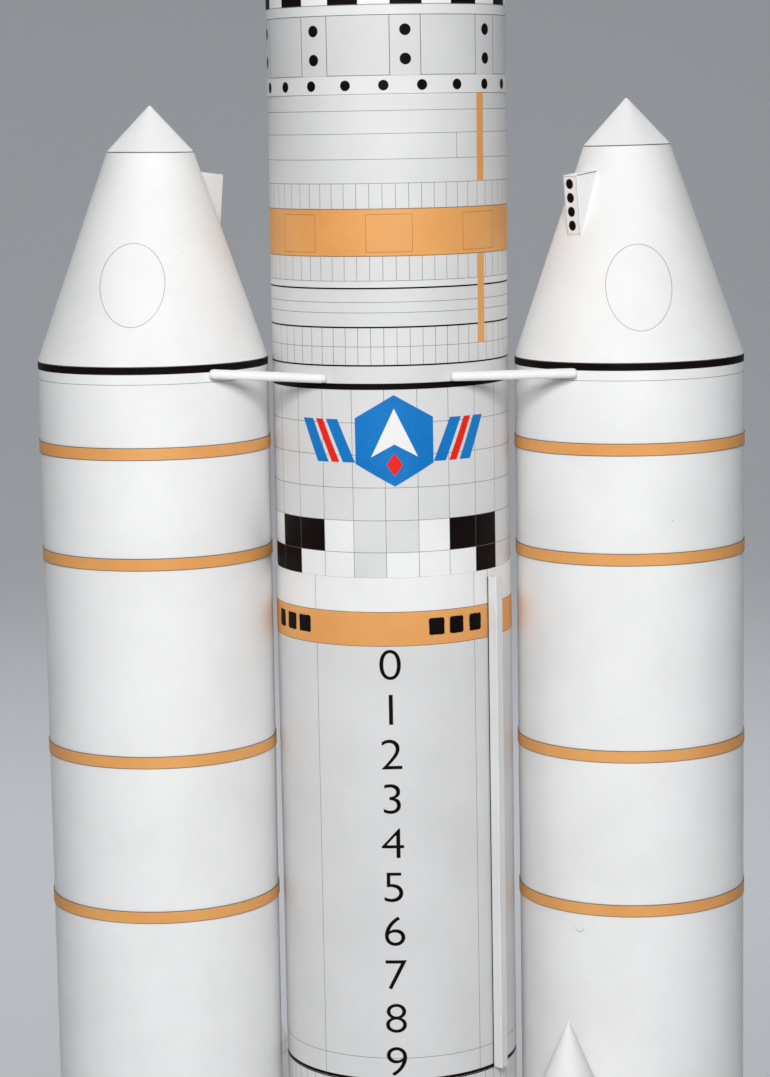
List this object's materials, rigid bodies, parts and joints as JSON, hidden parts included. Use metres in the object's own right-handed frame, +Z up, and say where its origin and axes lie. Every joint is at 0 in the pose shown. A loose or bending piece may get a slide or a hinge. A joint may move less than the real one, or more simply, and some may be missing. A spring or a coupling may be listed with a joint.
{
  "type": "card scale model of a space rocket with two strap-on boosters",
  "caption": "Standing card model of a space rocket: a stacked core with a round-nosed fairing, and a booster with a canted nozzle strapped to each side.",
  "frame": {"origin": "centre of the base, on the surface the model stands on, under the core's axis", "axes": "+Z up along the core, +X towards the right booster seen from the front, -Y the front"},
  "size_m": [0.192, 0.0954, 0.875],
  "materials": {
    "white_card": "matte white card with faint grain",
    "grey_card": "matte card printed light grey with thin dark lines",
    "orange_card": "matte card printed orange",
    "black_card": "matte card printed black"
  },
  "bodies": {
    "root": {"core_aft_skirt": "grey_card", "core_fuel_tube": "grey_card", "core_intertank": "grey_card", "core_oxidizer_tube": "grey_card", "core_vent_ring": "orange_card", "core_forward_skirt": "white_card", "stage2_lower_tube": "grey_card", "stage2_black_ring": "black_card", "stage2_tank_tube": "grey_card", "stage2_orange_sleeve": "orange_card", "stage2_top_tube": "grey_card", "dotted_ring": "white_card", "panel_skirt": "white_card", "checker_ring": "white_card", "upper_stage_tube": "white_card", "fairing_tube": "white_card", "fairing_cone": "white_card", "nose_cap": "white_card", "core_bell_left": "grey_card", "core_bell_right": "grey_card", "raceway_upper": "white_card", "raceway_lower": "white_card", "strut_left_front": "white_card", "strut_left_rear": "white_card", "strut_right_front": "white_card", "strut_right_rear": "white_card", "aft_spacer_left": "white_card", "aft_spacer_right": "white_card", "booster_left_nose_tip": "white_card", "booster_left_nose_cone": "white_card", "booster_left_forward_tube": "white_card", "booster_left_segment_1": "white_card", "booster_left_segment_2": "white_card", "booster_left_segment_3": "white_card", "booster_left_segment_4": "white_card", "booster_left_segment_5": "white_card", "booster_left_segment_6": "white_card", "booster_left_segment_7": "white_card", "booster_left_aft_skirt": "white_card", "booster_left_nozzle": "white_card", "booster_left_side_tank": "white_card", "booster_left_side_tank_cone": "white_card", "booster_left_staging_pod": "white_card", "booster_right_nose_tip": "white_card", "booster_right_nose_cone": "white_card", "booster_right_forward_tube": "white_card", "booster_right_segment_1": "white_card", "booster_right_segment_2": "white_card", "booster_right_segment_3": "white_card", "booster_right_segment_4": "white_card", "booster_right_segment_5": "white_card", "booster_right_segment_6": "white_card", "booster_right_segment_7": "white_card", "booster_right_aft_skirt": "white_card", "booster_right_nozzle": "white_card", "booster_right_side_tank": "white_card", "booster_right_side_tank_cone": "white_card", "booster_right_staging_pod": "white_card"}
  },
  "joints": []
}
